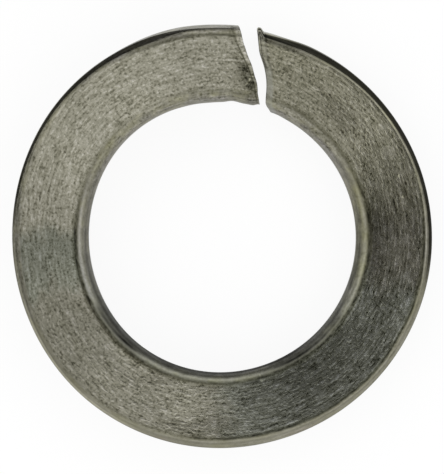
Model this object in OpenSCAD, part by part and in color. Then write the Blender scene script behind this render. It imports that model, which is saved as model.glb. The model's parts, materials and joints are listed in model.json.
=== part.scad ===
// Spring lock washer: one turn of rounded flat steel, coiled left-handed so that its ends bite
// against a right-hand thread coming loose, and cut across at a slant.
// Millimetres. The origin is on the bore's axis, level with the lowest point, and +Z runs along
// the bore. Seen from above the coil climbs clockwise, from the low end to the high end.

/* [Ring] */
// Bore, an easy fit over the bolt's shank
bore_d = 25.2; // [20:0.1:30]
// Radial width of the section
section_w = 7.2; // [5:0.1:9]
// Thickness of the section
section_t = 5; // [4:0.1:6]
// Height across the two ends when nothing presses on them
free_h = 10.4; // [9:0.1:12]

/* [Edges] */
// Rounding of the upper and lower outer edges
outer_round = 0.8; // [0.3:0.1:1.5]
// Rounding of the upper and lower inner edges
inner_round = 1.2; // [0.3:0.1:1.5]

/* [Split] */
// Direction of the split, counterclockwise from +X
split_az = 78.4; // [0:0.1:360]
// Slant of the split away from a radial line
split_slant = 23; // [0:1:28]
// Gap between the two ends at the outer wall, square to the cut
outer_gap = 1.6; // [0.6:0.1:3]
// Gap between the two ends at the bore, square to the cut
bore_gap = 0.7; // [0.4:0.1:2]
// Length along the coil of the edge that the shear rolled over
roll_l = 0.5; // [0.2:0.1:1]
// Depth of the rolled-over edge at the cut
roll_depth = 0.3; // [0.1:0.1:0.6]

/* [Hidden] */

bore_r = bore_d / 2;
outer_r = bore_r + section_w;
mid_r = bore_r + section_w / 2;

coil_steps = 100; // stations along the coil, one about every 3.6 degrees
roll_steps = 3; // extra stations over each rolled-over edge
round_steps = 5; // chords in each rounded edge
wall_fn = 180;
spare = 1; // how far the cutters of the walls run past what they cut

// The split is wider outside, so the two cuts stand at slightly different slants.
half_spread = atan((outer_gap - bore_gap) / 2 / (section_w / cos(split_slant)));
low_slant = split_slant - half_spread;
high_slant = split_slant + half_spread;

// Angles along the coil are in degrees clockwise from the middle of the split.
mid_gap = (outer_gap + bore_gap) / 2 / cos(split_slant);
low_deg = mid_gap / 2 / mid_r * 180 / PI;
high_deg = 360 - low_deg;
roll_share = roll_l / (mid_r * (high_deg - low_deg) * PI / 180);

// A cut is a flat plane that stands off the axis, so it leans more at the bore than outside.
function lean(r, slant) = asin(mid_r * sin(slant) / r) - slant;
function coil_deg(r, share) =
    low_deg + share * (high_deg - low_deg)
    + lean(r, low_slant + share * (high_slant - low_slant));

// The height is measured between the places where the flats first reach their full thickness.
first_deg = coil_deg(outer_r - outer_round, roll_share);
last_deg = coil_deg(bore_r + inner_round, 1 - roll_share);
climb = (free_h - section_t) / (last_deg - first_deg);

// One rounded edge of the section from the flat down towards the wall, as [inset, drop] pairs.
function edge_arc(radius) = [
    for (i = [0 : round_steps - 1])
        let (a = 90 * i / round_steps)
        [radius * (1 - sin(a)), radius * (1 - cos(a))]
];
// How far the last chord of an edge has passed the wall at half the thickness.
function nose(radius) =
    let (a = 90 * (round_steps - 1) / round_steps)
    (section_t / 2 - radius) * (1 - sin(a)) / cos(a);

outer_arc = edge_arc(outer_round);
inner_arc = edge_arc(inner_round);
arc_last = round_steps - 1;

// The section as [radius, height] pairs. Its noses pass the walls, which the true walls cut back.
section = concat(
    [for (p = outer_arc) [outer_r - p.x, section_t - p.y]],
    [[outer_r + nose(outer_round), section_t / 2]],
    [for (i = [arc_last : -1 : 0]) [outer_r - outer_arc[i].x, outer_arc[i].y]],
    [for (p = inner_arc) [bore_r + p.x, p.y]],
    [[bore_r - nose(inner_round), section_t / 2]],
    [for (i = [arc_last : -1 : 0]) [bore_r + inner_arc[i].x, section_t - inner_arc[i].y]]
);

// Stations run from 0 at the low cut to 1 at the high cut, closer together over the rolls.
roll_shares = [for (i = [0 : roll_steps - 1]) roll_share * (1 - cos(90 * i / roll_steps))];
stations = concat(
    roll_shares,
    [for (i = [0 : coil_steps]) roll_share + (1 - 2 * roll_share) * i / coil_steps],
    [for (i = [roll_steps - 1 : -1 : 0]) 1 - roll_shares[i]]
);

// Depth lost to the roll at a share of the coil away from its cut, on a quarter ellipse.
function roll_drop(share) =
    let (x = max(0, 1 - share / roll_share))
    roll_depth * (1 - sqrt(1 - x * x));

// The low end has lost its lower edge to the shear and the high end its upper edge.
function rolled(z, share) =
    z + roll_drop(share) * (1 - z / section_t) - roll_drop(1 - share) * z / section_t;

function coil_point(p, share) =
    let (a = coil_deg(p.x, share))
    [
        p.x * cos(split_az - a),
        p.x * sin(split_az - a),
        climb * (a - first_deg) + rolled(p.y, share)
    ];

// The coiled bar, with a flat cut at each end and no true walls yet.
module bar() {
    n = len(section);
    last = len(stations) - 1;
    points = [for (share = stations) for (p = section) coil_point(p, share)];
    sides = [
        for (i = [0 : last - 1]) for (j = [0 : n - 1])
            let (a = i * n + j, b = i * n + (j + 1) % n)
            each [[a, b, b + n], [a, b + n, a + n]]
    ];
    low_cut = [for (j = [n - 1 : -1 : 0]) j];
    high_cut = [for (j = [0 : n - 1]) last * n + j];
    polyhedron(points, concat(sides, [low_cut, high_cut]), convexity = 10);
}

// The true round walls of the washer, as a tube that runs past both ends.
module walls() {
    translate([0, 0, -spare]) difference() {
        cylinder(r = outer_r, h = free_h + 2 * spare, $fn = wall_fn);
        translate([0, 0, -spare]) cylinder(r = bore_r, h = free_h + 4 * spare, $fn = wall_fn);
    }
}

module spring_washer() {
    color([0.44, 0.44, 0.39]) intersection() {
        bar();
        walls();
    }
}

spring_washer();
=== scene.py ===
"""The looks of a spring lock washer: one turn of flat spring steel, its mill-rough faces and its
smooth rounded edges, lying on a pale bench under a soft dome of light. Metres throughout, in the
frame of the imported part: the bore's axis is Z, and seen from above the coil climbs clockwise."""

import json
import math

import bpy
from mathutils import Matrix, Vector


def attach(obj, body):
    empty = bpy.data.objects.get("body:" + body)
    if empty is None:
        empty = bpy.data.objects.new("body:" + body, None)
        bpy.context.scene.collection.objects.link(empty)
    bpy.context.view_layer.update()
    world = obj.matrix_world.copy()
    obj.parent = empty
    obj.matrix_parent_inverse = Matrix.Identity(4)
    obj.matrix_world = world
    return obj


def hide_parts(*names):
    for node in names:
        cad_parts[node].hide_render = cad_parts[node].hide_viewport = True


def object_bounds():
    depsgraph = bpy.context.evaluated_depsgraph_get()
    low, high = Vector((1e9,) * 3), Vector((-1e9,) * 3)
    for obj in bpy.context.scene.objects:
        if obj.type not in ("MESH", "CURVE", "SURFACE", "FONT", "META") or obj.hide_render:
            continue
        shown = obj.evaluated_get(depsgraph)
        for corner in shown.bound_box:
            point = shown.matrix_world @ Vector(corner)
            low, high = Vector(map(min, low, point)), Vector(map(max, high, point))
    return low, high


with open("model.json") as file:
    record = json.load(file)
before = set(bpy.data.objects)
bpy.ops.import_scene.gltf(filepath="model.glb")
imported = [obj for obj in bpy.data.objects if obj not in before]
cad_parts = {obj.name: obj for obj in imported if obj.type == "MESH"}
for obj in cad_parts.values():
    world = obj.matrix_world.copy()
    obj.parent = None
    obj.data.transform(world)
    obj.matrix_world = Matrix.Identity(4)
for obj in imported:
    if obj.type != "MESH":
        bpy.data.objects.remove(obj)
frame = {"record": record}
cad_low, cad_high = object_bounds()

MM = 0.001

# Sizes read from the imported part.
BORE_R = next(m for m in frame["record"]["mounts"] if m["name"] == "bore")["dims"]["r_mm"] * MM
OUTER_R = (cad_high.x - cad_low.x) / 2
FREE_HEIGHT = cad_high.z - cad_low.z

# Sizes that the part's source gives and its box does not.
THICKNESS = 5 * MM
OUTER_ROUND = 0.8 * MM
INNER_ROUND = 1.2 * MM
SPLIT_AZIMUTH = math.radians(78.4)
SPLIT_SLANT = math.radians(23)
OUTER_GAP = 1.6 * MM
BORE_GAP = 0.7 * MM
ROLL_LENGTH = 0.5 * MM
ROLL_DEPTH = 0.3 * MM
MID_R = (BORE_R + OUTER_R) / 2


# ---------------------------------------------------------------- sums made of nodes


def feed(tree, socket, value):
    """Gives a node's input a number, or links it to another node's output."""
    if isinstance(value, Field):
        tree.links.new(value.socket, socket)
    elif value is not None:
        socket.default_value = value


def sums(tree, operation, *values):
    node = tree.nodes.new("ShaderNodeMath")
    node.operation = operation
    for socket, value in zip(node.inputs, values):
        feed(tree, socket, value)
    return Field(tree, node.outputs[0])


class Field:
    """A node's output, which takes part in sums as a plain number does."""

    def __init__(self, tree, socket):
        self.tree = tree
        self.socket = socket

    def __add__(self, other):
        return sums(self.tree, "ADD", self, other)

    def __sub__(self, other):
        return sums(self.tree, "SUBTRACT", self, other)

    def __rsub__(self, other):
        return sums(self.tree, "SUBTRACT", other, self)

    def __mul__(self, other):
        return sums(self.tree, "MULTIPLY", self, other)

    def __truediv__(self, other):
        return sums(self.tree, "DIVIDE", self, other)

    def __rtruediv__(self, other):
        return sums(self.tree, "DIVIDE", other, self)

    __radd__ = __add__
    __rmul__ = __mul__

    def apply(self, operation, *others):
        return sums(self.tree, operation, self, *others)

    def within(self, low, high):
        """Held between two limits."""
        return self.apply("MAXIMUM", low).apply("MINIMUM", high)

    def between(self, start, full, fade, end):
        """One from full to fade, easing in after start and out before end."""
        return self.ease(start, full) * self.ease(fade, end, 1.0, 0.0)

    def hump(self, middle, reach):
        """One at the middle, easing to nothing a reach away."""
        return (self - middle).apply("ABSOLUTE").ease(0.0, reach, 1.0, 0.0)

    def ease(self, start, end, low=0.0, high=1.0):
        """Turns smoothly from low at start to high at end."""
        node = self.tree.nodes.new("ShaderNodeMapRange")
        node.interpolation_type = "SMOOTHSTEP"
        for name, value in (
            ("Value", self),
            ("From Min", start),
            ("From Max", end),
            ("To Min", low),
            ("To Max", high),
        ):
            feed(self.tree, node.inputs[name], value)
        return Field(self.tree, node.outputs["Result"])


def vector(tree, x, y, z):
    node = tree.nodes.new("ShaderNodeCombineXYZ")
    for socket, value in zip(node.inputs, (x, y, z)):
        feed(tree, socket, value)
    return Field(tree, node.outputs[0])


def parts_of(field):
    """The three numbers of a vector."""
    node = field.tree.nodes.new("ShaderNodeSeparateXYZ")
    feed(field.tree, node.inputs[0], field)
    return [Field(field.tree, socket) for socket in node.outputs]


# A noise node keeps within about a quarter of its middle, which this spreads to -1 to 1.
NOISE_SPREAD = 4


def noise(place, stretch, seed, detail=2.0, roughness=0.5):
    """Cloudy noise of about -1 to 1 with a seed of its own, drawn out along some ways more than
    others: stretch is how many times it changes in a millimetre, each way."""
    tree = place[0].tree
    node = tree.nodes.new("ShaderNodeTexNoise")
    node.noise_dimensions = "4D"
    drawn = vector(tree, *(along * times for along, times in zip(place, stretch)))
    for name, value in (
        ("Vector", drawn),
        ("W", seed),
        ("Scale", 1.0),
        ("Detail", detail),
        ("Roughness", roughness),
    ):
        feed(tree, node.inputs[name], value)
    return (Field(tree, node.outputs[0]) - 0.5) * NOISE_SPREAD


# ---------------------------------------------------------------- the coil


# The mesh is drawn in by this much, so that its strays stay inside the part's box.
RING_INSET = 0.09 * MM
# Room left under the coil and over it, and the least that its waves leave there.
LIFT = 0.005 * MM
LEAST_UNDER = 0.0005 * MM
LEAST_OVER = 0.001 * MM
# Points closer together than this are merged where the mesh closes.
MERGE_REACH = 0.0005 * MM

COIL_SIZES = {
    "Bore Radius": BORE_R,
    "Outer Radius": OUTER_R - RING_INSET,
    "Thickness": THICKNESS,
    "Free Height": FREE_HEIGHT - 2 * LIFT,
    "Lift": LIFT,
    "Outer Rounding": OUTER_ROUND,
    "Inner Rounding": INNER_ROUND,
    "Split Azimuth": SPLIT_AZIMUTH,
    "Split Slant": SPLIT_SLANT,
    "Outer Gap": OUTER_GAP,
    "Bore Gap": BORE_GAP,
    "Roll Length": ROLL_LENGTH,
    "Roll Depth": ROLL_DEPTH,
    "Stray": 1.0,
    "Waviness": 0.016 * MM,
    "Seed": 4.0,
}
STATIONS = 520
CUT_RINGS = 12
# How much closer together the stations stand at the ends: 0 is even, 1 has them meet.
CROWDING = 0.75
# Strips of mesh over half the section, from the middle of the outer wall to that of the bore.
STRIPS = {"outer wall": 6, "outer round": 16, "flat": 36, "inner round": 18, "inner wall": 5}

# Where the turn strays from true round: direction clockwise from +Y and reach in degrees, then
# how far out in millimetres.
STRAYS = (
    (200, 48, 0.09),
    (265, 48, -0.17),
    (322, 50, 0.13),
    (45, 60, -0.06),
    (18, 8, -0.085),
    (352, 9, 0.06),
)
BORE_STRAYS = (
    (170, 80, 0.06),
    (290, 34, -0.05),
    (347, 8, -0.055),
    (359, 5, 0.12),
    (12, 9, 0.06),
)
# Where the outer rounding is wider or narrower than the rest: direction, reach, share. Where it
# reaches further down the wall than it is wide, and where the bore's rounding is wider, are
# given in the same way.
OUTER_WIDTHS = (
    (175, 26, 0.2),
    (134, 14, -0.1),
    (232, 36, -0.26),
    (316, 16, -0.1),
    (343, 10, 0.1),
    (366, 26, -0.16),
    (12, 12, -0.3),
    (34, 16, 0.1),
    (27, 10, 0.15),
    (75, 60, -0.18),
    (92, 18, 0.09),
)
OUTER_DROPS = ((52, 80, 0.8), (325, 50, 0.5))
INNER_WIDTHS = ((85, 35, 0.09), (148, 30, -0.08), (175, 50, -0.12), (250, 26, 0.05))

# The high end's upper outer edge was pressed to a small corner and a flat bevel: the shares of
# the coil over which that sets in, then the corner's radius and turn, and the bevel.
PRESSED_SHARES = (0.93, 0.976)
PRESSED_ROUND = 0.16 * MM
PRESSED_TURN = math.radians(72)
PRESSED_DROP = 0.13 * MM
BEVEL_CURVE = 0.8
# The squeezed ends' outer walls lean in towards the top: start and end of the change in shares
# of the coil, then how far at each, and how many times faster than the height it grows.
HIGH_LEAN = (0.885, 0.96, 0.0, 0.42 * MM)
LOW_LEAN = (0.008, 0.04, 0.22 * MM, 0.0)
LEAN_SLOPE = 2.4
# The high end swells outwards and settles again, and its bore is pinched and then worn back,
# both over a quarter of the section's width.
SWELL_RISE = (0.89, 0.945)
SWELL = (0.945, 0.972, 0.15 * MM, 0.05 * MM)
BORE_PINCH = (0.93, 0.05)
PINCH_DEPTH = 0.06 * MM
BORE_WEAR = (0.988, 1.0)
WEAR_DEPTH = 0.24 * MM
WEAR_ACROSS = 0.25
# The burr on the low end's point: shares of the coil, of the width and of the thickness, then
# how far it stands out, up and along.
BURR_ALONG = (-0.0018, 0.0018, 0.0032, 0.0056)
BURR_ACROSS = (0.93, 0.985)
BURR_LEVEL = (0.3, 0.8, 0.0, 1.3)
BURR_OUT = 0.28 * MM
BURR_UP = 0.16 * MM
BURR_BACK = 0.04 * MM

# The shear left neither cut quite straight, and took a corner off the low end at the bore. Each
# cut strays by the sum of its humps (middle, reach, height) and steps (start, end, and the
# height before and after), in millimetres and by the distance from the bore.
LOW_CUT_HUMPS = ((2.9, 2.4, 0.33), (2.9, 1.2, -0.035))
LOW_CUT_STEPS = ((-0.1, 0.75, 0.46, 0.0), (3.9, 5.4, 0.0, -0.145))
HIGH_CUT_HUMPS = ((3.5, 2.6, 0.19), (4.35, 0.9, -0.06), (2.05, 0.8, 0.08), (0.75, 0.5, 0.06))
HIGH_CUT_STEPS = ((0.6, 1.6, -0.21, 0.0), (5.3, 6.5, 0.0, 0.11), (6.95, 7.4, 0.0, -0.12))
# The power of the coil's share by which a cut's stray fades away from it.
CUT_FADE = 24.0
# The rolled-over edges and the low cut's lip, as shares of the plain roll: start and end of the
# change in millimetres from the bore, then the share at each; and the powers of their curves.
HIGH_ROLL_LENGTH = (1.0, 6.4, 0.6, 1.15)
HIGH_ROLL_DEPTH = (1.0, 6.4, 0.35, 0.66)
LIP_LENGTH = (2.6, 4.8, 1.15, 0.4)
LIP_HEIGHT = (3.2, 6.2, 0.02, 0.18)
LOW_ROLL_CURVE = 2.0
HIGH_ROLL_CURVE = 1.15
LIP_CURVE = 1.4
# The flats' waves: changes in a millimetre along the coil, outwards and upwards.
LONG_WAVE = (0.12, 0.28, 0.2)
SHORT_WAVE = (0.3, 0.5, 0.2)
SHORT_WAVE_SHARE = 0.3
SHORT_WAVE_SEED = 7


def clock_of(angle):
    """Degrees clockwise from +Y, of an angle clockwise from the middle of the split."""
    return angle * (180 / math.pi) + (90 - math.degrees(SPLIT_AZIMUTH))


def humps(place, given):
    """The sum of humps set along a line or round the turn."""
    total = place * 0.0
    for middle, reach, height in given:
        total = total + place.hump(middle, reach) * height
    return total


def steps(place, given):
    """The sum of steps from one height to another."""
    total = place * 0.0
    for start, end, before, after in given:
        total = total + place.ease(start, end, before, after)
    return total


def coil_tree():
    """One turn of rounded flat bar. A sheet of mesh is wrapped round the section, run along the
    coil, and drawn in over each cut until it closes."""
    tree = bpy.data.node_groups.new("coiled_bar", "GeometryNodeTree")
    for name in COIL_SIZES:
        tree.interface.new_socket(name=name, in_out="INPUT", socket_type="NodeSocketFloat")
    tree.interface.new_socket(name="Steel", in_out="INPUT", socket_type="NodeSocketMaterial")
    tree.interface.new_socket(name="Coil", in_out="OUTPUT", socket_type="NodeSocketGeometry")
    given = tree.nodes.new("NodeGroupInput")
    size = {name: Field(tree, given.outputs[name]) for name in COIL_SIZES}
    bore_r, outer_r = size["Bore Radius"], size["Outer Radius"]
    thick, free_h = size["Thickness"], size["Free Height"]
    slant = size["Split Slant"]

    grid = tree.nodes.new("GeometryNodeMeshGrid")
    half_strips = sum(STRIPS.values())
    feed(tree, grid.inputs["Size X"], 1.0)
    feed(tree, grid.inputs["Size Y"], 1.0)
    feed(tree, grid.inputs["Vertices X"], STATIONS + 2 * CUT_RINGS)
    feed(tree, grid.inputs["Vertices Y"], 2 * half_strips + 1)
    place = Field(tree, tree.nodes.new("GeometryNodeInputPosition").outputs[0])
    grid_x, grid_y, _ = parts_of(place)

    # Along: the share of the coil, closer together at the ends, then the rings over each cut.
    row = (grid_x + 0.5) * (STATIONS + 2 * CUT_RINGS - 1)
    even = ((row - CUT_RINGS) / (STATIONS - 1)).within(0.0, 1.0)
    share = even - (even * (2 * math.pi)).apply("SINE") * (CROWDING / (2 * math.pi))
    low_ring = ((CUT_RINGS - row) / CUT_RINGS).within(0.0, 1.0)
    high_ring = ((row - (STATIONS + CUT_RINGS - 1)) / CUT_RINGS).within(0.0, 1.0)
    ring = low_ring + high_ring
    by_share = clock_of(share * (2 * math.pi))

    # Round: the section from the middle of the outer wall, over or under, to that of the bore.
    around = grid_y * 2
    side = around.apply("SIGN")
    upper = side.within(0.0, 1.0)
    strip = (1 - around.apply("ABSOLUTE")) * half_strips
    run = {}
    first = 0
    for name, count in STRIPS.items():
        run[name] = ((strip - first) / count).within(0.0, 1.0)
        first += count
    outer_round = size["Outer Rounding"] * (1 + humps(by_share, OUTER_WIDTHS))
    outer_drop = outer_round * (1 + humps(by_share, OUTER_DROPS))
    inner_round = size["Inner Rounding"] * (1 + humps(by_share, INNER_WIDTHS))
    outer_turn = run["outer round"] * (math.pi / 2)
    inner_turn = run["inner round"] * (math.pi / 2)
    flat = outer_r - bore_r - outer_round - inner_round
    along_flat = run["flat"] * flat
    radius = (
        outer_r
        - outer_round * (1 - outer_turn.apply("COSINE"))
        - along_flat
        - inner_round * inner_turn.apply("SINE")
    )
    lift = (
        (thick / 2 - outer_drop) * run["outer wall"]
        + outer_drop * outer_turn.apply("SINE")
        - inner_round * (1 - inner_turn.apply("COSINE"))
        - (thick / 2 - inner_round) * run["inner wall"]
    )

    # The high end's pressed edge: half of the strips make its corner and half its bevel.
    corner_part = (run["outer round"] * 2).within(0.0, 1.0)
    bevel_part = (run["outer round"] * 2 - 1).within(0.0, 1.0)
    corner_turn = corner_part * PRESSED_TURN
    corner_in = PRESSED_ROUND * (1 - corner_turn.apply("COSINE"))
    corner_up = PRESSED_ROUND * corner_turn.apply("SINE")
    corner_end = PRESSED_ROUND * (1 - math.cos(PRESSED_TURN))
    corner_top = PRESSED_ROUND * math.sin(PRESSED_TURN)
    pressed_radius = outer_r - corner_in - (outer_round - corner_end) * bevel_part
    pressed_lift = (
        (thick / 2 - PRESSED_DROP - corner_top) * run["outer wall"]
        + corner_up
        + PRESSED_DROP * bevel_part.apply("POWER", BEVEL_CURVE)
    )
    on_outer = 1 - run["flat"].apply("GREATER_THAN", 0.0)
    pressed = share.ease(*PRESSED_SHARES) * upper * on_outer
    radius = radius + (pressed_radius - radius) * pressed
    lift = lift + (pressed_lift - lift) * pressed

    # Over a cut the section draws in to a line along its own middle.
    keel = radius.within(bore_r + thick / 2, outer_r - thick / 2)
    radius = radius + (keel - radius) * ring
    height = thick / 2 + side * lift * (1 - ring)
    level = height / thick
    outwards = ((radius - bore_r) / (outer_r - bore_r)).within(0.0, 1.0)

    # The squeezed ends, the bore's strays and the burr.
    lean_in = share.ease(*HIGH_LEAN) + share.ease(*LOW_LEAN)
    near_top = (1 - (1 - level) * LEAN_SLOPE).within(0.0, 1.0)
    radius = radius - lean_in * near_top * outwards * outwards
    radius = radius + humps(by_share, BORE_STRAYS) * (1 - outwards) * MM
    swell = share.ease(*SWELL_RISE) * share.ease(*SWELL)
    radius = radius + swell * outwards
    by_bore = (1 - outwards / WEAR_ACROSS).within(0.0, 1.0)
    worn = share.ease(*BORE_WEAR) * WEAR_DEPTH - share.hump(*BORE_PINCH) * PINCH_DEPTH
    radius = radius + worn * by_bore
    burr = share.between(*BURR_ALONG) * outwards.ease(*BURR_ACROSS) * level.ease(*BURR_LEVEL)
    radius = radius + burr * BURR_OUT

    # The split, as in the part: two flat cuts that lean apart.
    mid_r = (bore_r + outer_r) / 2
    cut_length = (outer_r - bore_r) / slant.apply("COSINE")
    spread = ((size["Outer Gap"] - size["Bore Gap"]) / 2 / cut_length).apply("ARCTANGENT")
    mid_gap = (size["Outer Gap"] + size["Bore Gap"]) / 2 / slant.apply("COSINE")
    low_angle = mid_gap / 2 / mid_r
    span = 2 * math.pi - low_angle * 2
    from_bore = (radius - bore_r) / MM
    low_bow = humps(from_bore, LOW_CUT_HUMPS) + steps(from_bore, LOW_CUT_STEPS)
    high_bow = humps(from_bore, HIGH_CUT_HUMPS) + steps(from_bore, HIGH_CUT_STEPS)
    near_low = (1 - share).apply("POWER", CUT_FADE)
    near_high = share.apply("POWER", CUT_FADE)
    bow = (low_bow * near_low + high_bow * near_high) * MM

    def coil_angle(at_radius, at_share):
        """Clockwise from the middle of the split, seen from above."""
        local_slant = slant - spread + at_share * spread * 2
        lean = (mid_r * local_slant.apply("SINE") / at_radius).apply("ARCSINE") - local_slant
        return low_angle + at_share * span + lean

    def rolled_off(at_share, length, curve):
        """Depth lost at an edge that the shear rolled over, as a share of the whole."""
        part = (1 - at_share * span * mid_r / length).apply("MAXIMUM", 0.0)
        return part.apply("POWER", curve)

    roll_share = size["Roll Length"] / (mid_r * span)
    first_angle = coil_angle(outer_r - outer_round, roll_share)
    last_angle = coil_angle(bore_r + inner_round, 1 - roll_share)
    climb = (free_h - thick) / (last_angle - first_angle)
    depth = size["Roll Depth"]
    high_length = size["Roll Length"] * from_bore.ease(*HIGH_ROLL_LENGTH)
    lip_length = size["Roll Length"] * from_bore.ease(*LIP_LENGTH)
    low_roll = rolled_off(share, size["Roll Length"], LOW_ROLL_CURVE)
    high_roll = rolled_off(1 - share, high_length, HIGH_ROLL_CURVE)
    high_roll = high_roll * from_bore.ease(*HIGH_ROLL_DEPTH)
    lip = rolled_off(share, lip_length, LIP_CURVE) * from_bore.ease(*LIP_HEIGHT)
    height = (
        height
        + depth * low_roll * (1 - level)
        - depth * high_roll * level
        + depth * lip * level
        + burr * BURR_UP
    )

    angle = coil_angle(radius, share) + (bow - burr * BURR_BACK) / radius
    clock = clock_of(angle)
    plan = size["Split Azimuth"] - angle
    seed = size["Seed"]
    where = (angle * mid_r / MM, radius / MM, height / MM)
    long_wave = noise(where, LONG_WAVE, seed, detail=1.0)
    short_wave = noise(where, SHORT_WAVE, seed + SHORT_WAVE_SEED, detail=1.0)
    wave = long_wave + short_wave * SHORT_WAVE_SHARE
    stray = humps(clock, STRAYS) * size["Stray"] * MM
    level_now = climb * (angle - first_angle) + height + wave * size["Waviness"]
    settled = vector(
        tree,
        (radius + stray) * plan.apply("COSINE"),
        (radius + stray) * plan.apply("SINE"),
        (level_now + size["Lift"]).within(LEAST_UNDER, FREE_HEIGHT - LEAST_OVER),
    )
    placed = tree.nodes.new("GeometryNodeSetPosition")

    # Kept for the finish, in millimetres: where a point lies along the coil, over the section
    # and in height; how far it is from the low cut, the high cut and the axis; how far it is
    # inside a flat; and whether it is on a cut. Then how far it is up the high cut's roll, and
    # how upright, from 0 on a flat to 1 on a wall.
    across = (
        (thick / 2 - outer_round) * run["outer wall"]
        + outer_round * outer_turn
        + along_flat
        + inner_round * inner_turn
        + (thick / 2 - inner_round) * run["inner wall"]
    )
    over_cut = thick / 2 + outer_r - radius
    across = across + (over_cut - across) * (ring * CUT_RINGS).within(0.0, 1.0)
    on_coil = vector(tree, angle * mid_r / MM, across / MM, height / MM)
    cut_scale = span * radius * slant.apply("COSINE") / MM
    from_cuts = vector(tree, share * cut_scale, (1 - share) * cut_scale, radius / MM)
    creases = vector(
        tree,
        (along_flat - (1 - run["outer round"]) * outer_round * (math.pi / 2)) / MM,
        (flat - along_flat - run["inner round"] * inner_round * (math.pi / 2)) / MM,
        ring.apply("GREATER_THAN", 0.001),
    )
    rolls = vector(
        tree,
        1 - (1 - share) * span * mid_r / high_length,
        1 - run["outer round"] + run["inner round"],
        0.0,
    )
    joined = grid.outputs["Mesh"]
    for name, value in (
        ("on_coil", on_coil),
        ("from_cuts", from_cuts),
        ("creases", creases),
        ("rolls", rolls),
    ):
        store = tree.nodes.new("GeometryNodeStoreNamedAttribute")
        store.data_type = "FLOAT_VECTOR"
        store.domain = "POINT"
        store.inputs["Name"].default_value = name
        tree.links.new(joined, store.inputs["Geometry"])
        feed(tree, store.inputs["Value"], value)
        joined = store.outputs["Geometry"]
    tree.links.new(joined, placed.inputs["Geometry"])
    feed(tree, placed.inputs["Position"], settled)

    closed = tree.nodes.new("GeometryNodeMergeByDistance")
    feed(tree, closed.inputs["Distance"], MERGE_REACH)
    smooth = tree.nodes.new("GeometryNodeSetShadeSmooth")
    realized = tree.nodes.new("GeometryNodeRealizeInstances")
    faced = tree.nodes.new("GeometryNodeSetMaterial")
    tree.links.new(placed.outputs["Geometry"], closed.inputs["Geometry"])
    tree.links.new(closed.outputs["Geometry"], smooth.inputs["Geometry"])
    tree.links.new(smooth.outputs["Geometry"], realized.inputs["Geometry"])
    tree.links.new(realized.outputs["Geometry"], faced.inputs["Geometry"])
    tree.links.new(given.outputs["Steel"], faced.inputs["Material"])
    result = tree.nodes.new("NodeGroupOutput")
    tree.links.new(faced.outputs["Geometry"], result.inputs["Coil"])
    return tree


def spring_washer(steel):
    """The washer as a plain mesh in its place."""
    source = bpy.data.objects.new("coil_source", bpy.data.meshes.new("coil_source"))
    bpy.context.scene.collection.objects.link(source)
    coil = source.modifiers.new("coil", "NODES")
    tree = coil_tree()
    coil.node_group = tree
    for socket in tree.interface.items_tree:
        if socket.name in COIL_SIZES:
            coil[socket.identifier] = COIL_SIZES[socket.name]
        elif socket.name == "Steel":
            coil[socket.identifier] = steel
    shaped = source.evaluated_get(bpy.context.evaluated_depsgraph_get())
    mesh = bpy.data.meshes.new_from_object(shaped)
    mesh.name = "washer_steel"
    washer = bpy.data.objects.new("washer_steel", mesh)
    bpy.context.scene.collection.objects.link(washer)
    source.modifiers.clear()
    bpy.data.objects.remove(source)
    return washer


# ---------------------------------------------------------------- finishes


def blank_material(name):
    material = bpy.data.materials.new(name)
    material.use_nodes = True
    tree = material.node_tree
    shader = next(n for n in tree.nodes if n.type == "BSDF_PRINCIPLED")
    return material, tree, shader


# The steel's colour where it is bare, and its tint at a grazing angle.
BARE = (0.22656, 0.21888, 0.17136)
GRAZING_TINT = (0.6, 0.6, 0.58, 1.0)
ROUGHNESS = 0.18
ROUGHNESS_LIMITS = (0.08, 0.6)
# How much of the light the crease's grime and painted shade, and the darkest marks, take away.
GRIME_AND_CREASE_SHADE_DEPTH = 0.92
DARKEST_MARK = 0.85

# Heights above the section's underside between which its upper face begins.
UPPER_FACE = (3.2, 4.2)
# Millimetres inside a flat, less than nothing being down the rounded edge: where each finish
# begins and is full.
FLAT_EDGE = (-0.25, 0.1)
OUTER_EDGE = (0.2, -0.3)
BORE_EDGE = (0.05, -0.2)
COARSE_BORE_EDGE = (-1.4, -1.0)
# Bands of the bore's rounded edge, in the same way, and of the outer edge by how upright it is.
BORE_BANDS = {
    "steep": (-0.22, -0.42),
    "near wall": (-0.6, -1.1),
    "low": (-0.75, -1.15),
    "rim": (-0.85, -1.2),
}
BORE_SHOULDER = (-0.34, 0.34)
OUTER_BANDS = {"rim": (0.3, 0.55), "corner": (0.55, 0.75)}
UNDER_CORNER = (0.66, 0.12)
# Bands of the flats, by radius.
FLAT_BANDS = {"inner half": (17.5, 14.5), "beside bore": (16.0, 14.0)}

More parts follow.
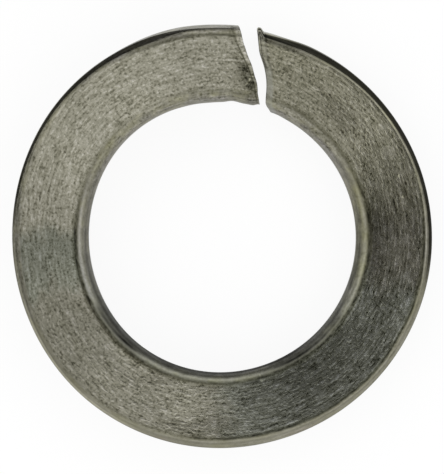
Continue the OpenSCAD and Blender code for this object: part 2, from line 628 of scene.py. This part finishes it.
# Stretches of the turn, in degrees clockwise from +Y: where each starts, is full, begins to fade
# and ends. With two numbers it is nothing at the first and full from the second on to the cut.
STRETCHES = {
    "coarse outer edge": (235, 270),
    "coarse bore before high end": (276, 316),
    "coarse bore after low end": (64, 44),
    "outer grime": (62, 95, 195, 262),
    "thinner outer grime": (184, 196, 300, 320),
    "outer grime at high end": (325, 345),
    "bore grime begins": (8, 36),
    "bore grime full": (50, 85),
    "bore grime thins": (300, 266),
    "bore grime ends": (328, 314),
    "bore grime at high end": (334, 342, 354, 364),
    "thinner bore grime": (158, 174, 200, 212),
    "nick's shade": (164.4, 165.2, 170, 173),
    "seam": (342, 352),
    "painted_wedge_shade": (27, 18),
    "mottled outer edge": (90, 110, 245, 262),
    "far half": (80, 125, 240, 285),
    "dim quarter": (62, 80, 160, 178),
    "strong marks": (92, 108, 136, 152),
    "weak marks": (225, 240, 345, 365),
    "yellow flat": (90, 78),
    "cool flat": (100, 109, 174, 184),
    "greenish flat": (246, 253, 267, 275),
    "first rust": (153, 157, 163, 166),
    "second rust": (190, 192, 195, 197),
    "neutral outer edge": (300, 340),
    "neutral bore": (238, 248, 278, 300),
    "warm bore": (60, 72, 104, 116),
    "neutral crease": (74, 84, 96, 106),
}

# Oxide and painted shade, and where the share is less than nothing a painted highlight: how
# ragged a patch's ends are, its stretch of the turn, where it lies across the section (a band's
# name, or a middle and reach from the crease) and the share of the light that it takes.
FLAT_OXIDE_AND_PAINTED_SHADE = (
    ("ragged", (8, 14, 48, 60), "all", 0.03),
    ("ragged", (8, 14, 48, 60), "inner half", 0.14),
    ("ragged", (64, 74, 166, 180), "all", 0.16),
    ("clean", (70, 84, 98, 112), "beside bore", 0.25),
    ("ragged", (136, 146, 168, 182), "all", 0.06),
    ("ragged", (208, 245, 268, 275), "all", 0.28),
    ("ragged", (270, 276, 284, 296), "all", 0.08),
)
# The outer edge: oxide and painted shade, with painted highlights on its rim and corner.
OUTER_OXIDE_AND_PAINTED_LIGHT = (
    ("ragged", (100, 125), "all", 0.14),
    ("ragged", (100, 125), "rim", -0.2),
    ("ragged", (205, 240, 282, 304), "all", 0.3),
    ("ragged", (205, 240, 282, 304), "rim", -0.22),
    ("clean", (240, 252, 272, 284), "above rim", 0.14),
    ("clean", (198, 212, 240, 254), "rim", -0.4),
    ("ragged", (155, 158, 166, 169), "rim", -0.12),
    ("ragged", (318, 336, 352, 358), "above rim", 0.3),
    ("clean", (330, 346, 366, 380), "corner", -0.8),
    ("clean", (19, 15), "corner", -0.9),
    ("clean", (24, 19), (-0.5, 0.2), -0.5),
    ("clean", (26, 20), (-0.22, 0.2), 0.25),
    ("clean", (13, 15, 28, 34), "under corner", 0.5),
    ("clean", (18, 25, 42, 50), (-0.2, 0.3), 0.28),
    ("clean", (292, 302, 320, 330), (-0.17, 0.16), 0.2),
    ("clean", (256, 268, 276, 288), "rim", 0.35),
    ("clean", (74, 83, 94, 110), (-0.47, 0.26), 0.45),
    ("clean", (74, 82, 96, 106), (-0.17, 0.14), -0.38),
    ("ragged", (306, 316, 326, 336), "all", 0.14),
)
# The bore's edge: oxide, painted shade in lobes, near its wall and at its rim on the far half, and
# painted highlights on its shoulder and near the high end.
BORE_OXIDE_AND_PAINTED_LIGHT = (
    ("ragged", (116, 132, 156, 170), "steep", 0.22),
    ("ragged", (116, 132, 156, 170), (-0.5, 0.34), 0.5),
    ("ragged", (208, 220, 236, 247), "steep", 0.22),
    ("ragged", (208, 220, 236, 247), (-0.5, 0.34), 0.5),
    ("ragged", (134, 142, 150, 158), "shoulder", 0.3),
    ("clean", (88, 102, 114, 124), "shoulder", -0.22),
    ("clean", (163, 176, 204, 212), "shoulder", -0.22),
    ("clean", (238, 248, 278, 294), "shoulder", -0.38),
    ("clean", (138, 152, 200, 222), "rim", 0.4),
    ("clean", (68, 84, 106, 120), "near wall", 0.4),
    ("clean", (209, 220, 220, 231), (-0.6, 0.26), 0.35),
    ("clean", (262, 272, 282, 292), "near wall", 0.2),
    ("clean", (80, 125, 240, 285), "low", 0.22),
    ("clean", (286, 300, 352, 368), "near wall", -0.14),
    ("clean", (286, 300, 352, 368), "shoulder", -0.08),
    ("clean", (300, 318, 352, 370), "near wall", -0.16),
    ("clean", (344, 352), (-0.95, 0.34), -1.2),
    ("clean", (344, 352), (-0.36, 0.3), 0.22),
    ("clean", (20, 26, 30, 36), (-0.75, 0.36), -0.4),
    ("clean", (48, 58, 76, 90), "shoulder", -0.1),
    ("clean", (41, 50, 50, 59), (-0.6, 0.24), -0.5),
    ("clean", (101, 110, 110, 119), (-0.9, 0.25), -0.5),
    ("clean", (101, 110, 110, 119), (-0.6, 0.2), 0.25),
)
# Where the oxide and painted shade lie thicker or thinner on the flats than about it, the
# thinner being painted light: direction, reach, share.
FLAT_OXIDE_AND_SHADING_PATCHES = (
    (55, 12, -0.15),
    (85, 13, 0.16),
    (115, 18, -0.33),
    (129, 9, -0.08),
    (152, 18, 0.1),
    (175, 12, 0.1),
    (191, 13, -0.19),
    (228, 22, 0.07),
    (265, 14, 0.12),
    (277, 11, 0.085),
    (325, 14, -0.06),
    (348, 12, 0.045),
)

# Two dark rubs beside the high cut: middle and reach from the cut, then of the radius, and depth.
RUBS = ((0.8, 0.8, 15.8, 1.05, 1.0), (0.75, 0.9, 14.45, 1.0, 0.8))
# A scratch near it: its middle, how many degrees it turns with a millimetre of radius, and bend.
SCRATCH_CLOCK = 369.4
SCRATCH_RADIUS = 14.95
SCRATCH_SLANT = 1.54
SCRATCH_BEND = 0.8
# Small dents and a nick: direction and reach in degrees, radius and reach in millimetres.
DENTS = ((71, 0.7, 17.6, 0.18), (77.4, 0.6, 17.4, 0.16))
NICK_CLOCK = (164, 0.6)
NICK_RADIUS = (13.1, 13.4, 13.8, 14.1)


def over_turn(clock, window):
    """One over a stretch of the turn."""
    return clock.between(*window) if len(window) == 4 else clock.ease(*window)


def oxide_and_painted_light_of(patches, clocks, bands, crease):
    """The share of oxide, painted shade and painted highlight on one face or edge."""
    total = 0.0
    for ends, window, band, share in patches:
        where = bands[band] if band in bands else crease.hump(*band)
        total = over_turn(clocks[ends], window) * where * share + total
    return total


def spring_steel():
    """Dull olive-grey steel: drawn flats covered in short marks, smooth rounded edges with grime
    and painted shade in the crease beside them, and sheared ends."""
    material, tree, shader = blank_material("spring_steel")

    def kept(name):
        node = tree.nodes.new("ShaderNodeAttribute")
        node.attribute_type = "GEOMETRY"
        node.attribute_name = name
        return parts_of(Field(tree, node.outputs["Vector"]))

    along, _, height = place = kept("on_coil")
    from_low, from_high, radius = kept("from_cuts")
    outer_crease, inner_crease, on_cut = kept("creases")
    high_roll, upright, _ = kept("rolls")
    clock = clock_of(along / (MID_R / MM))
    upper = height.ease(*UPPER_FACE)
    off_cut = 1 - on_cut

    # The marks of drawing and rolling, from long lines down to specks, and broad clouds.
    lines = noise(place, (0.13, 4.2, 4.2), seed=1.0, detail=3.0, roughness=0.6)
    dashes = noise(place, (0.92, 4.0, 4.0), seed=2.0, roughness=0.55)
    specks = noise(place, (3.8, 4.2, 4.2), seed=3.0, roughness=0.6)
    flecks = noise(place, (3.0, 4.0, 4.0), seed=7.0, detail=1.0)
    blotches = noise(place, (1.0, 1.6, 1.6), seed=4.0)
    mottle = noise(place, (0.4, 0.7, 0.7), seed=5.0)
    clouds = noise(place, (0.1, 0.26, 0.26), seed=6.0)
    pits = (specks + dashes * 0.6 + mottle * 0.15).ease(-0.05, -0.75)
    bright = (flecks + dashes * 0.6 - mottle * 0.15).ease(0.1, 0.75)

    clocks = {"clean": clock, "ragged": clock + clouds * 5 + mottle * 4}

    def over(name, ends="clean"):
        return over_turn(clocks[ends], STRETCHES[name])

    # One on the flats, nought on the rounded edges, the walls and the cuts.
    flat = outer_crease.ease(*FLAT_EDGE) * inner_crease.ease(*FLAT_EDGE) * off_cut
    bore_side = inner_crease.ease(*BORE_EDGE) * off_cut
    outer_side = outer_crease.ease(*OUTER_EDGE) * off_cut
    # The outer edge is as rough as the flats on the side towards the high end, and so is the
    # bore's edge near both ends.
    coarse_bore = over("coarse bore before high end") + over("coarse bore after low end")
    coarse_bore = coarse_bore * inner_crease.ease(*COARSE_BORE_EDGE) * bore_side
    coarse_outer = over("coarse outer edge") * outer_side
    coarse = (flat + coarse_outer * 0.8 + coarse_bore * 0.8).within(0.0, 1.0) * off_cut

    # Grime and painted shade darken the crease at the foot of each rounded edge, most on the far
    # side, and along the foot of the high cut's roll.
    wander = blotches * 0.04 + mottle * 0.05 + lines * 0.02
    outer_share = over("outer grime") * (1 - over("thinner outer grime") * 0.5)
    outer_share = outer_share + over("outer grime at high end") * 0.75
    inner_share = over("bore grime begins") * 0.6 + over("bore grime full") * 0.4
    inner_share = inner_share * (0.3 + over("bore grime thins") * 0.7) * over("bore grime ends")
    inner_share = inner_share + over("bore grime at high end") * 0.25
    inner_share = inner_share * (1.05 - over("thinner bore grime") * 0.25)
    grime_and_crease_shade = (
        (outer_crease + wander + 0.02).hump(0.0, 0.3) * outer_share
        + (inner_crease + wander).hump(-0.02, 0.42) * inner_share
    )
    roll_foot = high_roll.hump(-0.05, 0.42) * 0.6
    roll_foot = roll_foot + high_roll.hump(-0.55, 0.25) * radius.ease(16, 17) * 0.25
    grime_and_crease_shade = grime_and_crease_shade + roll_foot * from_high.ease(3.0, 1.0) * upper
    grime_and_crease_shade = grime_and_crease_shade.within(0.0, 1.0) * off_cut
    grime_and_crease_shade = grime_and_crease_shade * (0.8 + dashes * 0.5 + blotches * 0.25).within(0.1, 1.0)

    # Dark marks: a smear beside the high cut, a line beside the low cut's lip, a painted shade by
    # the nick, a seam on the high end's edge, and a painted shade in a wedge on the low end's.
    smear = from_high.ease(0.3, 2.8, 0.62, 0.0) * radius.hump(14.7, 2.5)
    for from_cut, reach, at_radius, radius_reach, depth in RUBS:
        rub = from_high.hump(from_cut, reach) * radius.hump(at_radius, radius_reach)
        smear = smear + rub * depth
    smear = smear * (0.8 - specks * 0.35 - dashes * 0.22 + blotches * 0.16).within(0.1, 1.1)
    smear = smear * upper
    lip_line = from_low.hump(0.66, 0.2) * radius.ease(15.4, 16.6) * upper
    nick_shade = over("nick's shade") * radius.hump(13.9, 0.2) * upper
    # Painted shade: a dark wedge down the outer edge beside the low end.
    painted_wedge_shade = over("painted_wedge_shade") * outer_crease.between(-0.6, -0.35, 0.1, 0.4) * upper

    # Light ones: a scratch through the smear, a lip along the low cut, a nick over the bore's
    # edge, two dents, and the high end's rolled edge and worn corner.
    off_middle = radius - SCRATCH_RADIUS
    bent = clock - off_middle * SCRATCH_SLANT + off_middle * off_middle * SCRATCH_BEND
    scratch = (bent + mottle * 0.12).hump(SCRATCH_CLOCK, 0.6)
    scratch = scratch * radius.between(14.1, 14.6, 15.2, 15.7) * (0.8 + specks * 0.6) * upper
    lip = from_low.ease(0.74, 0.5) * (0.35 + radius.ease(17.2, 16.0) * 0.65) * upper * off_cut
    nick = clock.hump(*NICK_CLOCK) * radius.between(*NICK_RADIUS) * upper
    dents = 0.0
    for direction, reach, at_radius, radius_reach in DENTS:
        dent = clock.hump(direction, reach) * radius.hump(at_radius, radius_reach)
        dents = dent * upper + dents
    rolled_band = high_roll.ease(0.15, 0.5) * from_high.ease(1.5, 1.0)
    rolled_band = rolled_band * radius.ease(14.5, 18.5) * upper
    corner_wear = from_high.ease(0.75, 0.3) * radius.ease(18.0, 18.8) * upper * off_cut
    seam = upright.hump(0.48, 0.15) * over("seam") * (1 - corner_wear) * upper

    light_marks = (
        scratch * 0.32
        + nick * 0.5
        + dents * 1.1
        + lip * 0.2
        + rolled_band * 0.2
        + corner_wear * 0.6
    )
    dark_marks = (
        smear * 0.75 * (1 - scratch * 0.8)
        + lip_line * 0.3
        + nick_shade * 0.6
        + seam * 0.6
        + painted_wedge_shade * (1 - lip) * 0.52
    ).within(0.0, DARKEST_MARK)
    coarse = coarse * (1 - lip)

    # A thin film of oxide and painted shade darkens stretches of the turn, and painted highlights
    # lighten others.
    bore_bands = {name: inner_crease.ease(*reach) for name, reach in BORE_BANDS.items()}
    bore_bands["shoulder"] = inner_crease.hump(*BORE_SHOULDER)
    outer_bands = {
        name: upright.ease(*reach) * outer_side for name, reach in OUTER_BANDS.items()
    }
    outer_bands["above rim"] = 1 - outer_bands["rim"]
    outer_bands["under corner"] = upright.hump(*UNDER_CORNER) * outer_side
    flat_bands = {name: radius.ease(*reach) for name, reach in FLAT_BANDS.items()}
    for bands in (bore_bands, outer_bands, flat_bands):
        bands["all"] = 1.0
    near_wall, shoulder = bore_bands["near wall"], bore_bands["shoulder"]
    far_half = over("far half")

    on_flat = oxide_and_painted_light_of(FLAT_OXIDE_AND_PAINTED_SHADE, clocks, flat_bands, inner_crease)
    on_flat = on_flat + humps(clock + clouds * 3, FLAT_OXIDE_AND_SHADING_PATCHES)
    on_outer = oxide_and_painted_light_of(OUTER_OXIDE_AND_PAINTED_LIGHT, clocks, outer_bands, outer_crease)
    mottled = specks * 0.07 + blotches * 0.2 + mottle * 0.1
    on_outer = on_outer + mottled * over("mottled outer edge")
    on_bore = oxide_and_painted_light_of(BORE_OXIDE_AND_PAINTED_LIGHT, clocks, bore_bands, inner_crease)
    # Painted shade over the near half of the bore's edge, turning to a painted highlight by its
    # wall.
    on_bore = on_bore + (1 - far_half) * (0.2 - near_wall * 0.42)
    oxide_and_painted_light = on_flat * flat + on_outer * outer_side + on_bore * bore_side

    # The shear wiped each cut smooth where it went in and tore it where it came out.
    wiped = noise(place, (0.3, 5.5, 0.35), seed=8.0, roughness=0.6)
    torn = noise(place, (0.3, 2.4, 3.2), seed=9.0, detail=3.0, roughness=0.65)
    going_in = height + (from_high - from_low).ease(-1.0, 1.0, -THICKNESS / MM, 0.0)
    tear = (going_in.apply("ABSOLUTE") + mottle * 0.4 + wiped * 0.2).ease(1.9, 2.5)
    cut_marks = (wiped * 0.3 + (torn * 0.45 - 0.25) * tear) * on_cut

    dim = over("dim quarter")
    drawn_marks = (
        dashes * (0.24 + dim * 0.12)
        + lines * (0.22 + dim * 0.16)
        + specks * (0.34 + dim * 0.06)
        - pits * 0.3
        + bright * (0.34 - dim * 0.04)
    )
    drawn_marks = drawn_marks * (1 + over("strong marks") * 0.25 - over("weak marks") * 0.08)
    marks = (
        drawn_marks * (0.3 + coarse * 0.7) * off_cut
        + cut_marks
        + blotches * (0.22 + dim * 0.1)
        + mottle * 0.12
        + clouds * 0.08
    ).within(-0.8, 1.2)

    # Light and dark first, then how far each colour leaves the bare steel's.
    tone = (1 + marks) * (1 - oxide_and_painted_light) * (1 - grime_and_crease_shade * GRIME_AND_CREASE_SHADE_DEPTH)
    tone = tone * (1 - dark_marks) * (1 + light_marks)
    stain = (mottle + blotches * 0.6 + 0.1).within(0.0, 1.0) * (1 - flat)
    brown = grime_and_crease_shade * 0.6 + stain * 0.6 + smear * 0.4 + over("yellow flat") * flat * 0.22
    brown = brown.within(0.0, 1.0)
    cool = over("cool flat", "ragged") * flat * 0.055
    cool = cool + far_half * bore_side * 0.03 + lip * 0.025
    greenish = over("greenish flat", "ragged") * flat * 0.056
    rust = over("first rust", "ragged") + over("second rust", "ragged")
    rust = rust * outer_side * outer_bands["rim"]
    warm_steep = bore_bands["steep"] * inner_crease.ease(-0.4, -0.75)
    neutral = (
        near_wall * bore_side * (0.13 - far_half * 0.01)
        + far_half * bore_side * 0.04
        + over("neutral outer edge") * outer_side * 0.07
        + (rolled_band + lip) * 0.08
        + over("neutral bore") * bore_side * (shoulder * 0.12 - near_wall * 0.03)
        - over("warm bore") * bore_side * (0.03 + warm_steep * 0.09)
        + over("neutral crease") * outer_crease.hump(-0.2, 0.2) * 0.1
    )
    red = BARE[0] * (1 - cool - greenish)
    green = BARE[1] * (1 - rust * 0.03)
    blue = 1 - brown * 0.24 + cool * 0.7 + greenish * 0.2 + marks * 0.16 + neutral
    colour = vector(tree, tone * red, tone * green, tone * (BARE[2] * blue))
    feed(tree, shader.inputs["Base Color"], colour)
    shader.inputs["Metallic"].default_value = 1.0
    shader.inputs["Specular Tint"].default_value = GRAZING_TINT
    rough = (
        ROUGHNESS
        + (mottle * 0.02 + dashes * 0.02) * flat
        + grime_and_crease_shade * 0.25
        + on_cut * (0.08 + tear * 0.2)
        + corner_wear * 0.3
        + bore_side * 0.2
    )
    feed(tree, shader.inputs["Roughness"], rough.within(*ROUGHNESS_LIMITS))

    # Relief in millimetres.
    drawn_relief = dashes * 0.0012 + specks * 0.0008 - pits * 0.003
    drawn_relief = drawn_relief + bright * (0.003 - dim * 0.0008)
    relief = (
        drawn_relief * coarse
        + lines * 0.0005
        + (dashes * 0.0007 + specks * 0.0004) * (1 - coarse)
        + (wiped * 0.002 + torn * tear * 0.02) * on_cut
        + nick * 0.02
        + scratch * 0.01
        + dents * 0.01
    )
    bump = tree.nodes.new("ShaderNodeBump")
    bump.inputs["Distance"].default_value = MM
    feed(tree, bump.inputs["Height"], relief)
    tree.links.new(bump.outputs[0], shader.inputs["Normal"])
    return material


# How far the bench is lifted to plain white for the eye and in the steel; the rest is shade.
BENCH_LIFT = 0.9
BENCH_WHITE = (0.93, 0.93, 0.93, 1.0)
# A painted shade for the washer's long shadow, which only the steel sees: how dark it is beyond
# the split and in the bore, and where each sets in and is full, from the axis and along Y.
SHADE_BEYOND = 0.9
SHADE_IN_BORE = 0.6
BEYOND_FROM_AXIS = (20.2 * MM, 22.5 * MM)
BEYOND_ALONG_Y = (-7 * MM, 3 * MM)
BEYOND_LEAN = 0.12
BORE_FROM_AXIS = (16 * MM, 14 * MM)
BORE_ALONG_Y = (-3 * MM, -9 * MM)
# Towards -X the shade beyond the split keeps further off: where along X, and how much further.
LEFT_CLEAR = (5 * MM, 15 * MM, 3.2 * MM, 0.0)


def bench_finish():
    """Matt and pale. The steel sees a painted shade on it that stands for the washer's own long
    shadow: beyond the split, and in the bore beside the wall that faces the split."""
    material, tree, matt = blank_material("pale_bench")
    matt.inputs["Base Color"].default_value = BENCH_WHITE
    matt.inputs["Roughness"].default_value = 1.0
    matt.inputs["Specular IOR Level"].default_value = 0.0
    path = tree.nodes.new("ShaderNodeLightPath")
    eye = Field(tree, path.outputs["Is Camera Ray"])
    steel = Field(tree, path.outputs["Is Glossy Ray"])
    glass = Field(tree, path.outputs["Is Transmission Ray"])
    x, y, _ = parts_of(Field(tree, tree.nodes.new("ShaderNodeTexCoord").outputs["Object"]))
    away = (x * x + y * y).apply("SQRT")
    beyond = (away - x.ease(*LEFT_CLEAR)).ease(*BEYOND_FROM_AXIS)
    beyond = beyond * (y + x * BEYOND_LEAN).ease(*BEYOND_ALONG_Y)
    in_bore = away.ease(*BORE_FROM_AXIS) * y.ease(*BORE_ALONG_Y)
    # Painted shade on the bench, seen only in the steel.
    painted_shade_share = steel * (beyond * SHADE_BEYOND + in_bore * SHADE_IN_BORE)

    white = tree.nodes.new("ShaderNodeEmission")
    black = tree.nodes.new("ShaderNodeEmission")
    black.inputs["Strength"].default_value = 0.0
    lifted = tree.nodes.new("ShaderNodeMixShader")
    feed(tree, lifted.inputs[0], (eye + steel + glass).within(0.0, 1.0) * BENCH_LIFT)
    with_painted_shade = tree.nodes.new("ShaderNodeMixShader")
    feed(tree, with_painted_shade.inputs[0], painted_shade_share)
    tree.links.new(matt.outputs[0], lifted.inputs[1])
    tree.links.new(white.outputs[0], lifted.inputs[2])
    tree.links.new(lifted.outputs[0], with_painted_shade.inputs[1])
    tree.links.new(black.outputs[0], with_painted_shade.inputs[2])
    surface = next(n for n in tree.nodes if n.type == "OUTPUT_MATERIAL")
    tree.links.new(with_painted_shade.outputs[0], surface.inputs["Surface"])
    return material


# ---------------------------------------------------------------- bench, light and camera


BENCH_REACH = 3.0


def bench():
    mesh = bpy.data.meshes.new("bench")
    reach = BENCH_REACH
    corners = [(-reach, -reach), (reach, -reach), (reach, reach), (-reach, reach)]
    mesh.from_pydata([(x, y, cad_low.z) for x, y in corners], [], [(0, 1, 2, 3)])
    mesh.materials.append(bench_finish())
    floor = bpy.data.objects.new("bench", mesh)
    bpy.context.scene.collection.objects.link(floor)


# Light of the dome's bright band.
DOME = 1.42
# The dim spot overhead leans this far towards this azimuth, clockwise from +Y. Its core and rim
# are in degrees from its middle, with the light at each.
SPOT_TILT = math.radians(9.5)
SPOT_AZIMUTH = math.radians(40)
SPOT_CORE = (6.0, 11.5, 0.05, 0.78)
SPOT_RIM = (10.0, 19.0, 0.0, 0.22)
# Low down the dome is dimmer, a little more so from -Y to +Y; between these heights it
# brightens. Y and Z here are parts of a direction of length one.
LOW_LIGHT = (-1.0, 0.1, 0.72, 0.62)
BRIGHT_FROM = (math.cos(math.radians(62)), math.cos(math.radians(42)))
# The screen beyond the split: how it leans to the side and back, and where it sets in.
SCREEN_SIDE = 0.35
SCREEN_RISE = 0.9
SCREEN = (0.34, 0.56, 1.0, 0.13)


def soft_dome():
    """A soft dome, dim straight overhead and screened off low down beyond the split."""
    world = bpy.data.worlds.new("soft_dome")
    world.use_nodes = True
    tree = world.node_tree
    bpy.context.scene.world = world
    towards = Field(tree, tree.nodes.new("ShaderNodeTexCoord").outputs["Generated"])
    x, y, z = parts_of(towards)
    spot = (
        math.sin(SPOT_TILT) * math.sin(SPOT_AZIMUTH),
        math.sin(SPOT_TILT) * math.cos(SPOT_AZIMUTH),
        math.cos(SPOT_TILT),
    )
    off_spot = (x * spot[0] + y * spot[1] + z * spot[2]).within(-1.0, 1.0).apply("ARCCOSINE")
    off_spot = off_spot * (180 / math.pi)
    overhead = off_spot.ease(*SPOT_CORE) + off_spot.ease(*SPOT_RIM)
    low_side = y.ease(*LOW_LIGHT)
    high = z.ease(*BRIGHT_FROM)
    screened = y + x.apply("MAXIMUM", 0.0) * SCREEN_SIDE - z * SCREEN_RISE
    strength = (low_side + (1 - low_side) * high) * screened.ease(*SCREEN) * overhead * DOME
    background = next(n for n in tree.nodes if n.type == "BACKGROUND")
    feed(tree, background.inputs["Strength"], strength)
    background.inputs["Color"].default_value = (1.0, 1.0, 1.0, 1.0)


# Above the upper face, where it looks straight down a hair beside the bore's axis.
CAMERA_HEIGHT = 0.774
CAMERA_X = 0.03 * MM
CAMERA_Y = -0.03 * MM
# Long side of the view at the washer.
FIELD = 44.39 * MM


def overhead_camera():
    camera = bpy.data.cameras.new("overhead")
    camera.sensor_width = 36.0
    camera.lens = camera.sensor_width / FIELD * CAMERA_HEIGHT
    camera.clip_start = 0.01
    camera.clip_end = 10.0
    holder = bpy.data.objects.new("overhead", camera)
    holder.location = (CAMERA_X, CAMERA_Y, cad_low.z + THICKNESS + CAMERA_HEIGHT)
    bpy.context.scene.collection.objects.link(holder)
    bpy.context.scene.camera = holder


overhead_camera()
bench()
soft_dome()
bpy.context.scene.view_settings.view_transform = "Standard"

washer = spring_washer(spring_steel())
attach(washer, "root")
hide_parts("spring_washer")
